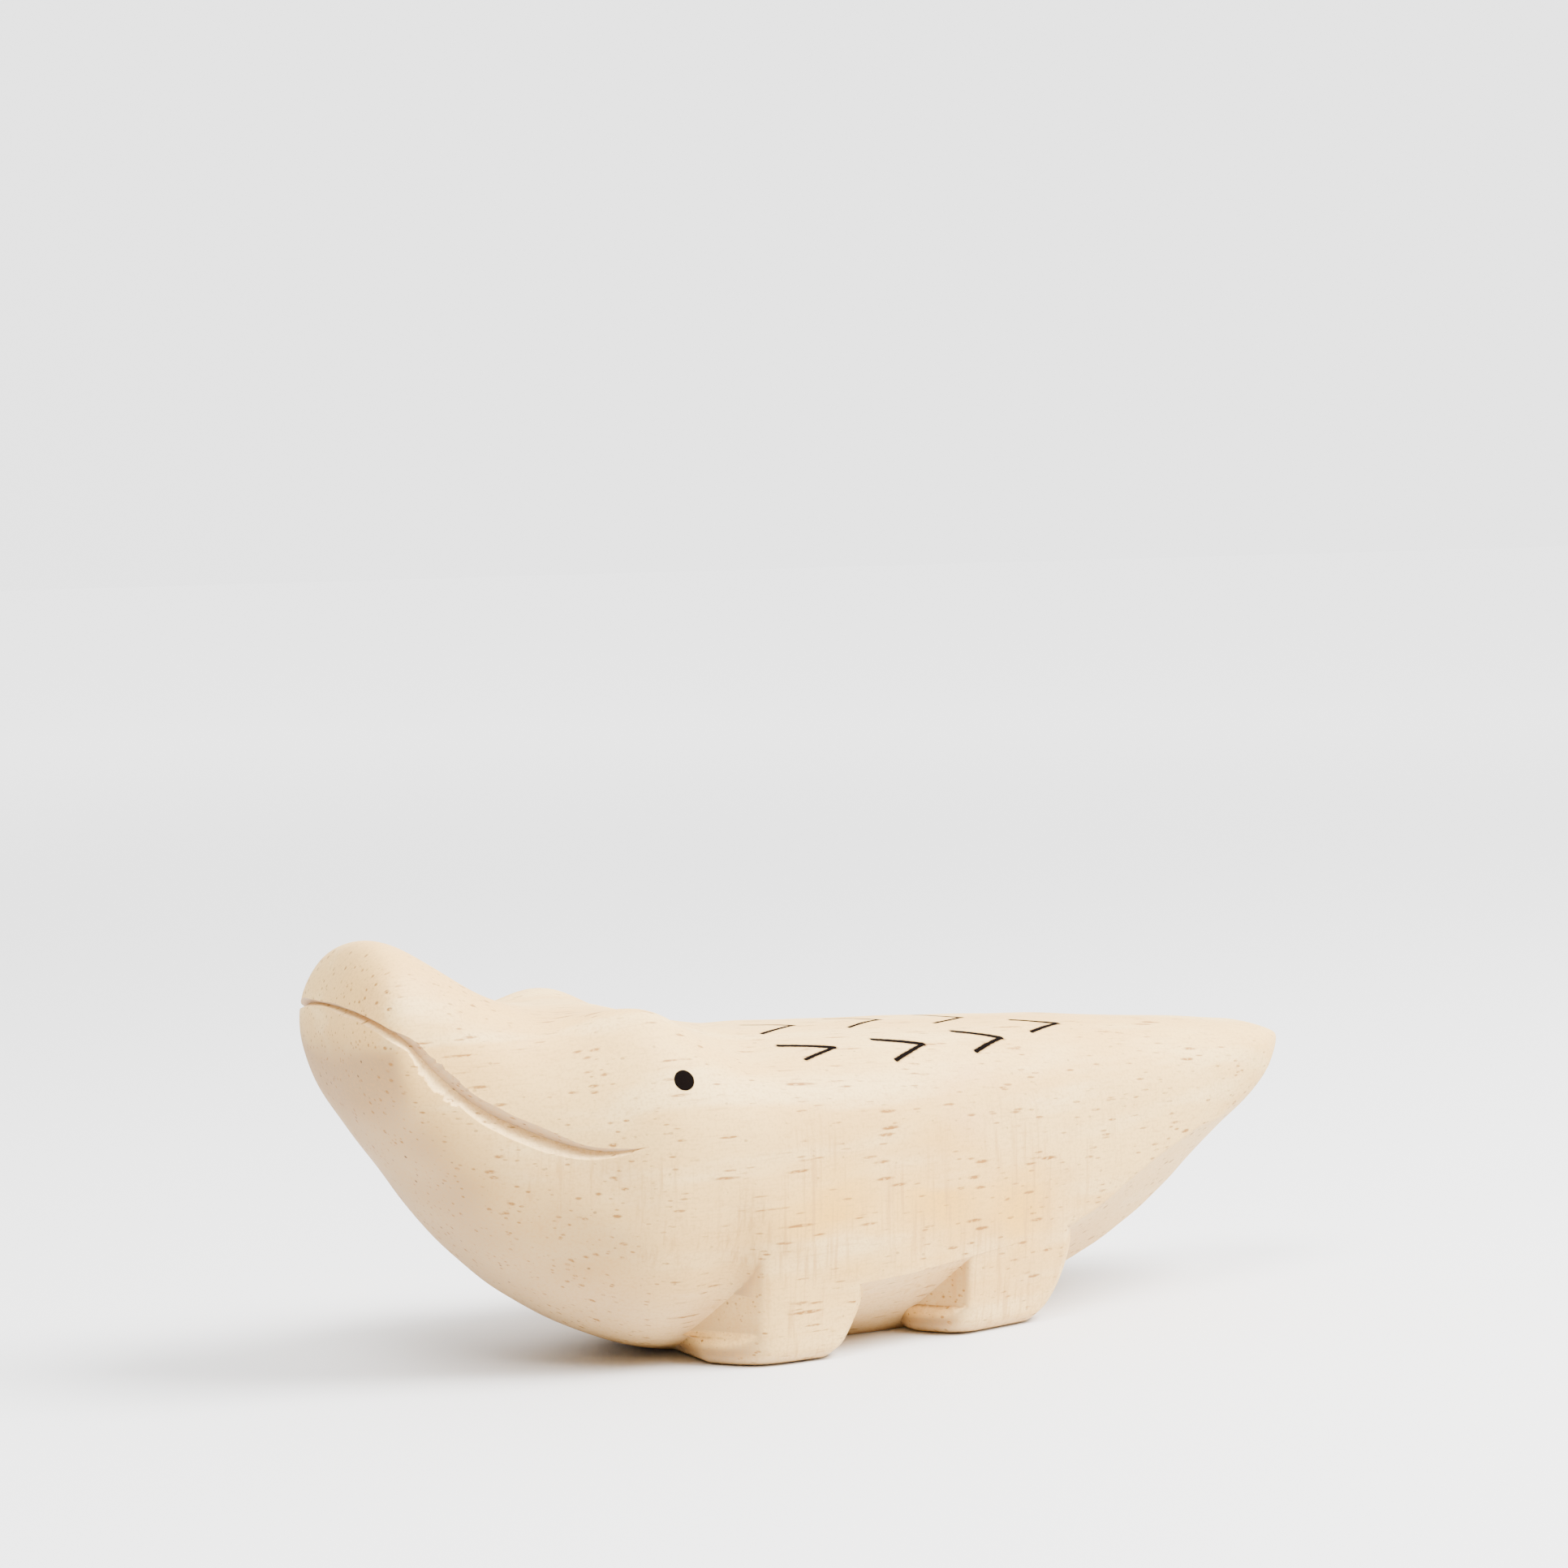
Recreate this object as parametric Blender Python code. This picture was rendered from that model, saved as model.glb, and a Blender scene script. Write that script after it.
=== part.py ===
# Crocodile figurine carved from one block of pale light wood, standing on four short feet.
# Metres, +Z up. The head points to -X and the tail to +X. The soles and the belly's flat lie on z = 0.
# The left side, at -Y, is worked out and the right side mirrors it.
import math

import bmesh
import bpy
import numpy as np
from mathutils import Matrix, Vector

# Driving dimensions
BODY_LENGTH = 0.1656        # nose to tail tip
BODY_HEIGHT = 0.0640        # soles to the top of the raised snout
BODY_WIDTH = 0.0546         # across the shoulders
NOSE_ROUND = 0.0078         # length over which the snout closes
TAIL_ROUND = 0.0090         # length over which the tail tip closes
BROW_RISE = 0.0041          # swelling above each eye
BROW_AHEAD = 0.0150         # from the top of the swelling to where it fades, towards the snout
BROW_BEHIND = 0.0108        # the same towards the neck
BROW_WIDTH = 0.0067         # the same across the head
NECK_DEPTH = 0.0015         # hollow in the neck behind each brow
NECK_LENGTH = 0.0085        # from the bottom of the hollow to where it fades, along the body
NECK_WIDTH = 0.0070         # the same across the neck
MOUTH_DEPTH = 0.0018        # knife cut of the mouth, below the skin
MOUTH_ABOVE = 0.0008        # opening above the cut's root
LIP_BEVEL = 0.0013          # widest bevel on the lower lip
FRONT_LEG_HEIGHT = 0.0168   # soles to the top of the cut in front of the front legs
REAR_LEG_HEIGHT = 0.0158    # the same for the rear legs
FRONT_LEG_X = -0.0248       # front edge of the front legs
FRONT_LEG_LENGTH = 0.0180   # along the body
REAR_LEG_X = 0.0126         # front edge of the rear legs
REAR_LEG_LENGTH = 0.0211
LEG_LEAN = math.radians(6.5)      # how far a leg's flank leans in towards the sole
FEET_GAP = 0.0100           # between the blocks of the left and the right foot, inside the belly's flat
SOLE_ROUND = 0.0025         # rounding along the outer edge of a sole
FRONT_HEEL_ROUND = 0.0060   # rounding behind the front feet, seen from the side, along the sole
FRONT_HEEL_RISE = 0.0115    # the same up the back of the leg
REAR_HEEL_ROUND = 0.0076
REAR_HEEL_RISE = 0.0125
EDGE_ROUND = 0.0012         # rounding of the upright edge between facet and flank
HEEL_CHAMFER = 0.0022       # knife cut down the outer back corner of a leg
FACET_TURN = math.radians(36.0)   # how far a leg's front facet turns from the head to the side
FACET_LEAN = math.radians(4.0)    # how far the facet leans in towards the sole
TOE_HEIGHT = 0.0044
TOE_REACH = 0.0011          # how far the toes stand in front of the facet
TOE_ROUND = 0.0036          # rounding of the toes' outer corner, seen from below
TOE_SPAN = 0.0069           # from a leg's front edge to the tip of its toes, along the body
UNION_SINK = 0.00015        # how far a leg's flank lies inside the body's above the leg
SAW_EXTRA = 0.0011          # how far the leg blocks reach below the soles before all is sawn flat

# The body's lines: places are shares of the length, values are shares of the height or the half width
CREST = ((0.0, 0.936), (0.025, 0.992), (0.055, 1.0), (0.112, 0.914), (0.173, 0.840), (0.244, 0.825),
         (0.336, 0.768), (0.457, 0.739), (0.63, 0.720), (0.814, 0.688), (0.945, 0.653), (1.0, 0.641))
KEEL = ((0.0, 0.677), (0.05, 0.497), (0.111, 0.293), (0.171, 0.157), (0.241, 0.054), (0.301, 0.003),
        (0.382, -0.024), (0.583, -0.026), (0.683, 0.046), (0.804, 0.171), (0.924, 0.402), (1.0, 0.548))
HALF_BEAM = ((0.0, 0.666), (0.08, 0.656), (0.161, 0.757), (0.251, 0.964), (0.362, 1.0), (0.502, 0.904),
             (0.653, 0.725), (0.804, 0.554), (0.924, 0.372), (1.0, 0.20))
# Height of the widest line between keel and crest, and how square the section is above and below it
WIDEST = ((0.0, 0.508), (0.22, 0.633), (0.45, 0.661), (1.0, 0.597))
TOP_SQUARE = ((0.0, 2.32), (0.22, 2.46), (0.45, 2.61), (1.0, 2.35))
LOW_SQUARE = ((0.0, 2.01), (0.221, 2.50), (0.285, 2.30), (0.328, 2.06), (0.362, 2.90), (0.422, 3.7),
              (0.663, 3.8), (0.804, 2.68), (1.0, 2.30))
HEEL_POWER = 1.5            # how a heel rounds; 2 is an ellipse, less is flatter
NOSE_POWER = 2.95           # how blunt the snout closes; 2 is round
TAIL_POWER = 2.0            # the same for the tail tip
# The pared underside, from between the legs to under the tail: height of its edge on the flank,
# half width of its foot, and the places between which it fades in and out
UNDER_EDGE = ((0.382, 0.165), (0.456, 0.173), (0.523, 0.185), (0.573, 0.196), (0.643, 0.213),
              (0.726, 0.258), (0.782, 0.335), (0.882, 0.440), (0.955, 0.520))
UNDER_FOOT = ((0.382, 0.20), (0.603, 0.20), (0.703, 0.16), (0.955, 0.12))
UNDER_IN = (0.38, 0.44)
UNDER_OUT = (0.86, 0.95)
BROW_PLACE = (0.256, 0.68)       # share of the length, share of the half width
NECK_PLACE = (0.352, 0.60)
# The mouth's height, and how its depth and the bevel under it swell from the front (0) to the corner (1)
MOUTH_LINE = ((0.0, 0.876), (0.013, 0.842), (0.038, 0.797), (0.052, 0.757), (0.103, 0.637),
              (0.139, 0.585), (0.173, 0.547), (0.206, 0.532), (0.241, 0.545))
MOUTH_CORNER = 0.236
CUT_SHAPE = ((0.0, 0.55), (0.30, 0.75), (0.70, 1.0), (0.88, 0.70), (1.0, 0.06))
LIP_SHAPE = ((0.0, 0.60), (0.30, 0.65), (0.60, 1.0), (0.85, 0.95), (1.0, 0.60))

AROUND = 48                 # points round a section, a multiple of 4
EDGE_STEP = 0.58            # share of the points below the widest line that lie above the pared edge
FOOT_STEP = 0.83            # share of them above the pared foot
NOSE_RINGS = 9
BODY_RINGS = 44
TAIL_RINGS = 6
MOUTH_STEPS = 22            # sections of the mouth's cut on each side
LEG_STEPS = 6
CORNER_STEPS = 4
HEEL_CUTS = 4               # flats that round a heel or the edge of a sole

PALE_CREAM = (0.79, 0.66, 0.48, 1.0)


def curve(points):
    # Natural cubic curve through (place, value) points
    place, value = np.array(points, float).T
    step = np.diff(place)
    slope = np.diff(value) / step
    count = len(place)
    matrix = np.eye(count)
    wanted = np.zeros(count)
    for i in range(1, count - 1):
        matrix[i, i - 1:i + 2] = step[i - 1], 2 * (step[i - 1] + step[i]), step[i]
        wanted[i] = 6 * (slope[i] - slope[i - 1])
    bend = np.linalg.solve(matrix, wanted)

    def read(at):
        i = np.clip(np.searchsorted(place, at) - 1, 0, count - 2)
        after = at - place[i]
        before = place[i + 1] - at
        cubic = (bend[i] * before ** 3 + bend[i + 1] * after ** 3) / (6 * step[i])
        low = value[i] / step[i] - bend[i] * step[i] / 6
        high = value[i + 1] / step[i] - bend[i + 1] * step[i] / 6
        return cubic + low * before + high * after
    return read


crest_line = curve(CREST)
keel_line = curve(KEEL)
beam_line = curve(HALF_BEAM)
widest_line = curve(WIDEST)
top_square = curve(TOP_SQUARE)
low_square = curve(LOW_SQUARE)
under_edge = curve(UNDER_EDGE)
under_foot = curve(UNDER_FOOT)
mouth_line = curve(MOUTH_LINE)
lip_shape = curve(LIP_SHAPE)
cut_shape = curve(CUT_SHAPE)


def along(share):
    return (share - 0.5) * BODY_LENGTH


def share_of(x):
    return x / BODY_LENGTH + 0.5


def closing(share):
    # 1 along the body, falling to 0 at the nose and at the tail tip
    nose = np.clip(share * BODY_LENGTH / NOSE_ROUND, 0.0, 1.0)
    tail = np.clip((1.0 - share) * BODY_LENGTH / TAIL_ROUND, 0.0, 1.0)
    nose = (1 - (1 - nose) ** NOSE_POWER) ** (1 / NOSE_POWER)
    return nose * (1 - (1 - tail) ** TAIL_POWER) ** (1 / TAIL_POWER)


def section(share):
    # Crest, keel, height of the widest line and half beam at a share of the length
    crest = crest_line(share) * BODY_HEIGHT
    keel = keel_line(share) * BODY_HEIGHT
    middle = keel + widest_line(share) * (crest - keel)
    return crest, keel, middle, beam_line(share) * BODY_WIDTH / 2


def ramp(value, start, end):
    # 0 at start, 1 at end, with soft ends
    t = min(max((value - start) / (end - start), 0.0), 1.0)
    return t * t * (3 - 2 * t)


def between(start, end, t):
    return start[0] + (end[0] - start[0]) * t, start[1] + (end[1] - start[1]) * t


def underside(share, fall):
    # Half width and drop below the widest line; fall runs from 0 there to 1 at the keel
    _, keel, middle, beam = section(share)
    reach = middle - keel
    power = low_square(share)

    def arc(angle):
        return beam * math.cos(angle) ** (2 / power), reach * math.sin(angle) ** (2 / power)

    plain = arc(fall * math.pi / 2)
    pared = ramp(share, *UNDER_IN) * (1 - ramp(share, *UNDER_OUT))
    if pared == 0:
        return plain
    place = min(max(share, UNDER_EDGE[0][0]), UNDER_EDGE[-1][0])
    edge_drop = min(max((middle - under_edge(place) * BODY_HEIGHT) / reach, 0.0), 1.0)
    turn = math.asin(edge_drop ** (power / 2))
    foot = (under_foot(place) * BODY_WIDTH / 2, reach)
    if fall < EDGE_STEP:
        cut = arc(turn * fall / EDGE_STEP)
    elif fall < FOOT_STEP:
        cut = between(arc(turn), foot, (fall - EDGE_STEP) / (FOOT_STEP - EDGE_STEP))
    else:
        cut = between(foot, (0.0, reach), (fall - FOOT_STEP) / (1 - FOOT_STEP))
    return between(plain, cut, pared)


def pair(y, place, width):
    # Two soft swellings across the body, at a share of the half width on each side
    centre = place * BODY_WIDTH / 2
    return math.exp(-((y - centre) / width) ** 2) + math.exp(-((y + centre) / width) ** 2)


def skin(share, angle):
    # A point of the body's surface; angle 0 is the right flank, pi / 2 the back and pi the left flank
    crest, _, middle, beam = section(share)
    close = closing(share)
    c, s = math.cos(angle), math.sin(angle)
    if s >= 0:
        power = 2 / top_square(share)
        half, rise = beam * abs(c) ** power, (crest - middle) * s ** power
    else:
        half, drop = underside(share, math.atan2(-s, abs(c)) / (math.pi / 2))
        rise = -drop
    x, y, z = along(share), math.copysign(half, c) * close, middle + rise * close
    behind = x - along(BROW_PLACE[0])
    brow = math.exp(-(behind / (BROW_BEHIND if behind > 0 else BROW_AHEAD)) ** 2)
    neck = math.exp(-((x - along(NECK_PLACE[0])) / NECK_LENGTH) ** 2)
    raised = BROW_RISE * brow * pair(y, BROW_PLACE[1], BROW_WIDTH)
    raised -= NECK_DEPTH * neck * pair(y, NECK_PLACE[1], NECK_WIDTH)
    return Vector((x, y, z + raised * max(s, 0.0) ** 0.5))


def flank(x, z):
    # Half width of the body at x and at a height z below the widest line
    share = share_of(x)
    _, keel, middle, beam = section(share)
    drop = min(max((middle - z) / (middle - keel), 0.0), 1.0)
    power = low_square(share)
    return float(beam * closing(share) * (1 - drop ** power) ** (1 / power))


def body_shares():
    # Ring places, close together where the nose and the tail tip round off
    nose = NOSE_ROUND / BODY_LENGTH
    tail = TAIL_ROUND / BODY_LENGTH
    shares = [nose * (1 - math.cos(math.pi / 2 * i / NOSE_RINGS)) for i in range(1, NOSE_RINGS)]
    shares += [nose + (1 - nose - tail) * i / BODY_RINGS for i in range(BODY_RINGS + 1)]
    shares += [1 - tail * (1 - math.cos(math.pi / 2 * i / TAIL_RINGS)) for i in range(TAIL_RINGS - 1, 0, -1)]
    return shares


def loft(bm, rings, first=None, last=None):
    # Quads between rings of vertices, with a fan to a single vertex or a flat face at each end
    count = len(rings[0])
    for one, two in zip(rings, rings[1:]):
        for i in range(count):
            j = (i + 1) % count
            bm.faces.new((one[i], one[j], two[j], two[i]))
    for ring, tip in ((rings[0], first), (rings[-1], last)):
        if tip is None:
            bm.faces.new(ring)
        else:
            for i in range(count):
                bm.faces.new((ring[i], ring[(i + 1) % count], tip))
    bmesh.ops.recalc_face_normals(bm, faces=bm.faces)


def add_object(name, bm, guide=False):
    mesh = bpy.data.meshes.new(name)
    bm.to_mesh(mesh)
    bm.free()
    thing = bpy.data.objects.new(name, mesh)
    bpy.context.scene.collection.objects.link(thing)
    if guide:
        thing.hide_render = True
        thing.display_type = "WIRE"
    return thing


def body():
    bm = bmesh.new()
    rings = []
    for share in body_shares():
        rings.append([bm.verts.new(skin(share, 2 * math.pi * i / AROUND)) for i in range(AROUND)])
    loft(bm, rings, bm.verts.new(skin(0.0, 0.0)), bm.verts.new(skin(1.0, 0.0)))
    return add_object("crocodile", bm)


def mouth_angle(share):
    # Angle on the left side where the skin meets the mouth's height, or None ahead of the mouth
    height = mouth_line(share) * BODY_HEIGHT
    low, high = math.pi / 2, 3 * math.pi / 2
    if skin(share, low).z < height or skin(share, high).z > height:
        return None
    for _ in range(40):
        angle = (low + high) / 2
        if skin(share, angle).z > height:
            low = angle
        else:
            high = angle
    return angle


def mouth_start():
    # Share of the length where the mouth crosses the front of the snout
    low, high = 0.0, NOSE_ROUND / BODY_LENGTH
    for _ in range(40):
        share = (low + high) / 2
        if mouth_angle(share) is None:
            low = share
        else:
            high = share
    return high


def mouth_path():
    # Points, outward directions and progress on the left side, up to the corner of the mouth (1)
    start = mouth_start()
    found = []
    tiny = 1e-4
    for i in range(1, MOUTH_STEPS + 1):
        progress = i / MOUTH_STEPS
        share = start + (MOUTH_CORNER - start) * progress ** 2
        angle = mouth_angle(share)
        lengthwise = skin(share + tiny, angle) - skin(share - tiny, angle)
        crosswise = skin(share, angle + tiny) - skin(share, angle - tiny)
        out = lengthwise.cross(crosswise).normalized()
        if out.y > 0:
            out = -out
        found.append((skin(share, angle), out, progress))
    return found


def mouth_cutter():
    # A three-sided wedge swept round the snout from cheek to cheek
    left = mouth_path()
    right = [(Vector((p.x, -p.y, p.z)), Vector((n.x, -n.y, n.z)), t) for p, n, t in left]
    path = left[::-1] + right
    bm = bmesh.new()
    rings = []
    for i, (point, out, progress) in enumerate(path):
        ahead = path[min(i + 1, len(path) - 1)][0] - path[max(i - 1, 0)][0]
        up = ahead.cross(out).normalized()
        if up.z < 0:
            up = -up
        depth = MOUTH_DEPTH * float(cut_shape(progress))
        clear = MOUTH_DEPTH / 2
        open_up = (depth + clear) / MOUTH_DEPTH
        root = point - out * depth
        upper = point + out * clear + up * MOUTH_ABOVE * open_up
        lower = point + out * clear - up * LIP_BEVEL * float(lip_shape(progress)) * open_up
        rings.append([bm.verts.new(corner) for corner in (root, lower, upper)])
    loft(bm, rings)
    return add_object("mouth_cutter", bm, guide=True)


def rounded_inset(z, reach, rise, power=2.0):
    # How far a rounding stands back from its upright at height z
    if z >= rise:
        return 0.0
    return reach * (1 - (1 - (1 - z / rise) ** power) ** (1 / power))


def facet_x(front, height, z, y, forward):
    # Where the knife's plane in front of a leg lies at height z and half width y
    edge_y = flank(front, height)
    lean = (z - height / 2) * math.tan(FACET_LEAN) / math.cos(FACET_TURN)
    return front - lean - forward / math.cos(FACET_TURN) + (y - edge_y) * math.tan(FACET_TURN)


def leg_outline(z, front, back, height, heel, toe):
    # Plan of a left leg at height z: up the facet, along the flank, round the back, along the inside
    rounding = rounded_inset(z, SOLE_ROUND, SOLE_ROUND)
    forward = (TOE_REACH if toe else 0.0) - rounding
    level = max(z, height)
    narrow = UNION_SINK + rounding + (level - z) * math.tan(LEG_LEAN)
    inner = FEET_GAP / 2
    edge_x = front
    for _ in range(8):
        edge_x = facet_x(front, height, z, flank(edge_x, level) - narrow, forward)
    tip_x = front - (TOE_SPAN if z <= TOE_HEIGHT else TOE_SPAN * 1.5) + rounding
    edge_y = flank(edge_x, level) - narrow
    tip_y = max(edge_y - (edge_x - tip_x) / math.tan(FACET_TURN), inner + SOLE_ROUND)
    points = [(tip_x, inner), (tip_x, tip_y)]
    soft = TOE_ROUND if toe else EDGE_ROUND
    for i in range(CORNER_STEPS + 1):
        t = i / CORNER_STEPS
        before, after = soft * (1 - t) ** 2, soft * t ** 2
        y = edge_y - before * math.cos(FACET_TURN) + flank(edge_x + after, level) - flank(edge_x, level)
        points.append((edge_x - before * math.sin(FACET_TURN) + after, y))
    back_x = back - rounded_inset(z, *heel, HEEL_POWER)
    last = back_x - HEEL_CHAMFER
    for i in range(1, LEG_STEPS + 1):
        x = edge_x + soft + (last - edge_x - soft) * i / LEG_STEPS
        points.append((x, flank(x, level) - narrow))
    points.append((back_x, points[-1][1] - HEEL_CHAMFER))
    points.append((back_x, inner))
    return points


def leg(name, front, length, height, heel):
    # Left leg as a stack of plans; the toes are the lower plans, moved forward. Heel is its reach and rise.
    heights = {-SAW_EXTRA, 0.0, SOLE_ROUND, height / 2, height, height * 1.25, height * 1.5}
    for i in range(1, HEEL_CUTS + 1):
        angle = math.pi / 2 * i / HEEL_CUTS
        heights.add(heel[1] * (1 - math.cos(angle)))
        heights.add(SOLE_ROUND * (1 - math.cos(angle)))
    low = sorted(z for z in heights if z < TOE_HEIGHT - SOLE_ROUND / 2)
    high = sorted(z for z in heights if z > TOE_HEIGHT + SOLE_ROUND / 2)
    plans = [(z, True) for z in low] + [(TOE_HEIGHT - SOLE_ROUND / 4, True), (TOE_HEIGHT, False)]
    plans += [(z, False) for z in high]
    bm = bmesh.new()
    rings = []
    for z, toe in plans:
        outline = leg_outline(max(z, 0.0), front, front + length, height, heel, toe)
        rings.append([bm.verts.new((x, -y, z)) for x, y in outline])
    loft(bm, rings)
    return add_object(name, bm, guide=True)


def mirrored(thing, name):
    bm = bmesh.new()
    bm.from_mesh(thing.data)
    bmesh.ops.transform(bm, matrix=Matrix.Diagonal((1.0, -1.0, 1.0, 1.0)), verts=bm.verts)
    bmesh.ops.reverse_faces(bm, faces=bm.faces)
    return add_object(name, bm, guide=True)


def floor_cutter():
    # Everything below the plane of the soles
    bm = bmesh.new()
    bmesh.ops.create_cube(bm, size=1.0)
    size = Matrix.Diagonal((BODY_LENGTH, BODY_WIDTH * 1.5, BODY_HEIGHT / 4, 1.0))
    bmesh.ops.transform(bm, matrix=Matrix.Translation((0.0, 0.0, -BODY_HEIGHT / 8)) @ size, verts=bm.verts)
    return add_object("floor_cutter", bm, guide=True)


def combine(target, tool, operation):
    change = target.modifiers.new(tool.name, "BOOLEAN")
    change.operation = operation
    change.solver = "EXACT"
    change.object = tool


def pale_wood():
    material = bpy.data.materials.new("pale_wood")
    material.use_nodes = True
    shader = material.node_tree.nodes["Principled BSDF"]
    shader.inputs["Base Color"].default_value = PALE_CREAM
    shader.inputs["Roughness"].default_value = 0.62
    shader.inputs["Metallic"].default_value = 0.0
    return material


def main():
    for thing in list(bpy.data.objects):
        bpy.data.objects.remove(thing, do_unlink=True)
    crocodile = body()
    combine(crocodile, mouth_cutter(), "DIFFERENCE")
    front_heel = (FRONT_HEEL_ROUND, FRONT_HEEL_RISE)
    rear_heel = (REAR_HEEL_ROUND, REAR_HEEL_RISE)
    feet = (("front_leg", FRONT_LEG_X, FRONT_LEG_LENGTH, FRONT_LEG_HEIGHT, front_heel),
            ("rear_leg", REAR_LEG_X, REAR_LEG_LENGTH, REAR_LEG_HEIGHT, rear_heel))
    for sizes in feet:
        left = leg(*sizes)
        combine(crocodile, left, "UNION")
        combine(crocodile, mirrored(left, left.name + "_right"), "UNION")
    combine(crocodile, floor_cutter(), "DIFFERENCE")
    crocodile.data.materials.append(pale_wood())
    crocodile.data.shade_smooth()
    crocodile.data.set_sharp_from_angle(angle=math.radians(32.0))


main()
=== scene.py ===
import math
import bmesh
import bpy
import numpy as np
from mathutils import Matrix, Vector
from mathutils.bvhtree import BVHTree


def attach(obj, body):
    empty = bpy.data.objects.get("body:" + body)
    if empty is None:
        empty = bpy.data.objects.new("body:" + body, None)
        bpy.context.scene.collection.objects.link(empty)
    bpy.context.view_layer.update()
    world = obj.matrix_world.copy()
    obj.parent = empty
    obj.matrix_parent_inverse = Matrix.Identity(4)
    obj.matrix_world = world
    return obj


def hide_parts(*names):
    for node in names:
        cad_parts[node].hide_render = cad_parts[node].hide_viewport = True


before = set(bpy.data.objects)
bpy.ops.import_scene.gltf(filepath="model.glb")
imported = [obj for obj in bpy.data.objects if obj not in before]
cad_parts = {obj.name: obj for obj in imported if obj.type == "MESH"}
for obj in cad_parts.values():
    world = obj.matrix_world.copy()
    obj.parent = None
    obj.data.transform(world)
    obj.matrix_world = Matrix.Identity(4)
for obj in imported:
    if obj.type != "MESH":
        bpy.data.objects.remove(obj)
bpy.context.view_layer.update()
print("frame loaded")

# The head points to -X and the tail to +X, the left side is at -Y and the soles stand on z = 0.
# Lines are (place, value) pairs: places are shares of the length, values shares of the height or half width.
crocodile = {
    "length": 0.1656,
    "height": 0.0640,
    "width": 0.0546,
    "noseRound": 0.0078,      # length over which the snout closes
    "nosePower": 2.95,        # how blunt it closes, 2 is round
    "tailRound": 0.0090,
    "tailPower": 2.0,
    "crest": ((0.0, 0.936), (0.025, 0.992), (0.055, 1.0), (0.112, 0.914), (0.173, 0.840),
              (0.244, 0.825), (0.336, 0.768), (0.457, 0.739), (0.63, 0.720), (0.814, 0.688),
              (0.945, 0.653), (1.0, 0.641)),
    "keel": ((0.0, 0.677), (0.05, 0.497), (0.111, 0.293), (0.171, 0.157), (0.241, 0.054),
             (0.301, 0.003), (0.382, -0.024), (0.583, -0.026), (0.683, 0.046), (0.804, 0.171),
             (0.924, 0.402), (1.0, 0.548)),
    "halfBeam": ((0.0, 0.666), (0.08, 0.656), (0.161, 0.757), (0.251, 0.964), (0.362, 1.0),
                 (0.502, 0.904), (0.653, 0.725), (0.804, 0.554), (0.924, 0.372), (1.0, 0.20)),
    "widest": ((0.0, 0.508), (0.22, 0.633), (0.45, 0.661), (1.0, 0.597)),
    "topSquare": ((0.0, 2.32), (0.22, 2.46), (0.45, 2.61), (1.0, 2.35)),
    "lowSquare": ((0.0, 2.01), (0.221, 2.50), (0.285, 2.30), (0.328, 2.06), (0.362, 2.90), (0.422, 3.7),
                  (0.663, 3.8), (0.804, 2.68), (1.0, 2.30)),
    "underEdge": ((0.382, 0.165), (0.456, 0.173), (0.523, 0.185), (0.573, 0.196), (0.643, 0.213),
                  (0.726, 0.258), (0.782, 0.335), (0.882, 0.440), (0.955, 0.520)),
    "underFoot": ((0.382, 0.20), (0.603, 0.20), (0.703, 0.16), (0.955, 0.12)),
    "underIn": (0.38, 0.44),  # the pared underside fades in and out between these places
    "underOut": (0.86, 0.95),
    "edgeStep": 0.58,         # share of the points below the widest line that lie above the pared edge
    "footStep": 0.83,         # share of them above the pared foot
    "browPlace": (0.256, 0.68),       # shares of the length and of the half width
    "browRise": 0.0041,       # swelling above each eye
    "browAhead": 0.0150,      # its length towards the snout and towards the neck
    "browBehind": 0.0108,
    "browWidth": 0.0067,
    "neckPlace": (0.352, 0.60),
    "neckDepth": 0.0015,      # hollow behind each brow
    "neckLength": 0.0085,
    "neckWidth": 0.0070,
    "rings": 330,
    "around": 208,            # points round a ring, a multiple of 4
    "ringEase": 0.4,          # how much the rings crowd towards both ends
    "endGap": 2e-5,           # the end rings stay this share of the length inside
    "waves": 14,              # waves of hand-carved unevenness
    "waviness": 0.00007,
    "waveLengths": (0.007, 0.022),
    "waveStretch": (0.6, 1.0, 1.0),   # along x, y and z; the waves vary less along the body
    "waveFade": 0.003,        # height above the soles over which the waves begin
    "waveSeed": 7,
    "sharpAngle": math.radians(38),
}


def curve(points):
    # Natural cubic curve through (place, value) points
    place, value = np.array(points, float).T
    step = np.diff(place)
    slope = np.diff(value) / step
    count = len(place)
    matrix = np.eye(count)
    wanted = np.zeros(count)
    for i in range(1, count - 1):
        matrix[i, i - 1:i + 2] = step[i - 1], 2 * (step[i - 1] + step[i]), step[i]
        wanted[i] = 6 * (slope[i] - slope[i - 1])
    bend = np.linalg.solve(matrix, wanted)

    def read(at):
        i = np.clip(np.searchsorted(place, at) - 1, 0, count - 2)
        after = at - place[i]
        before = place[i + 1] - at
        cubic = (bend[i] * before ** 3 + bend[i + 1] * after ** 3) / (6 * step[i])
        low = value[i] / step[i] - bend[i] * step[i] / 6
        high = value[i + 1] / step[i] - bend[i + 1] * step[i] / 6
        return cubic + low * before + high * after
    return read


lines = {name: curve(points) for name, points in crocodile.items()
         if isinstance(points, tuple) and isinstance(points[0], tuple)}


def along(share):
    return (share - 0.5) * crocodile["length"]


def ramp(value, start, end):
    # 0 at start, 1 at end, with soft ends
    t = np.clip((value - start) / (end - start), 0.0, 1.0)
    return t * t * (3 - 2 * t)


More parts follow.
